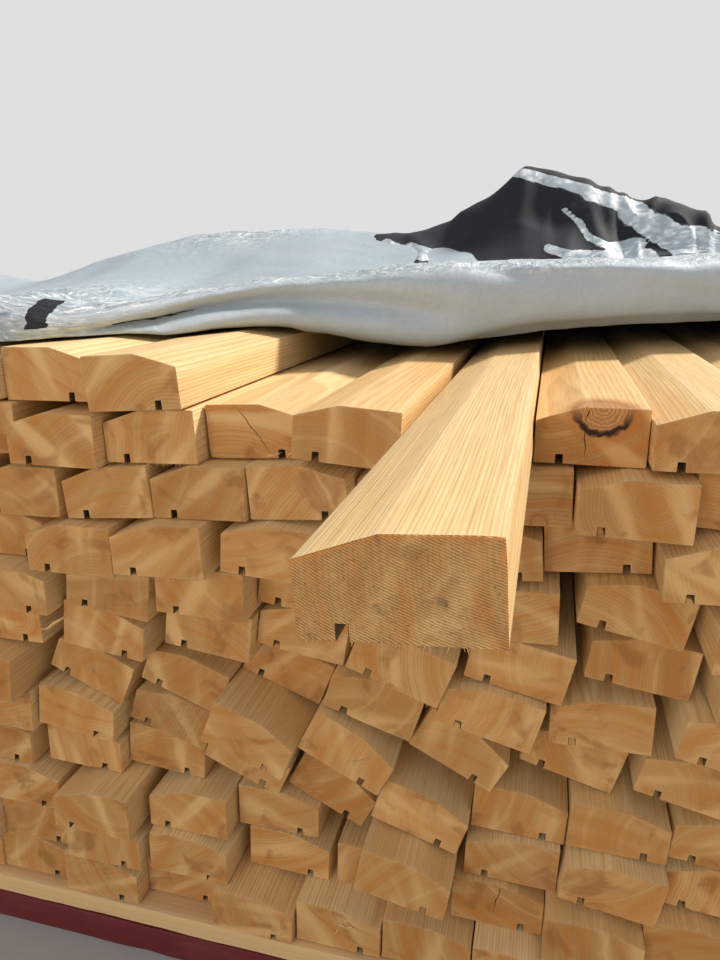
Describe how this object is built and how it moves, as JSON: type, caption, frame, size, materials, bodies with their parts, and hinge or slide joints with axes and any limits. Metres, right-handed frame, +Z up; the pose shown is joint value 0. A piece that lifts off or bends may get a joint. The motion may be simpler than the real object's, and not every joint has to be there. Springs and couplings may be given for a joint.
{
  "type": "stack of lumber",
  "caption": "Stack of bevelled softwood boards in uneven rows on crosswise bearers, one board drawn out at the front, under a thrown-back wrap.",
  "frame": {"origin": "middle of the underside of the middle bearer rail", "axes": "+Z up, +Y along the boards from the front ends to the back ends, +X to the right when facing the front ends"},
  "size_m": [1.3287, 3.95, 0.6826],
  "materials": {
    "board_wood": "planed pine, sawn ends",
    "bearer_wood": "rough sawn pale softwood",
    "red_paint": "dark red painted timber",
    "wrap_cloth": "white woven wrap with a black underside"
  },
  "bodies": {
    "root": {"row_01_boards": "board_wood", "row_02_boards": "board_wood", "row_03_boards": "board_wood", "row_04_boards": "board_wood", "row_05_boards": "board_wood", "row_06_boards": "board_wood", "row_07_boards": "board_wood", "row_08_boards": "board_wood", "row_09_boards": "board_wood", "row_10_boards": "board_wood", "row_11_boards": "board_wood", "row_12_boards": "board_wood", "drawn_out_board": "board_wood", "bearer_planks": "bearer_wood", "bearer_rails": "red_paint", "wrap": "wrap_cloth"}
  },
  "joints": []
}
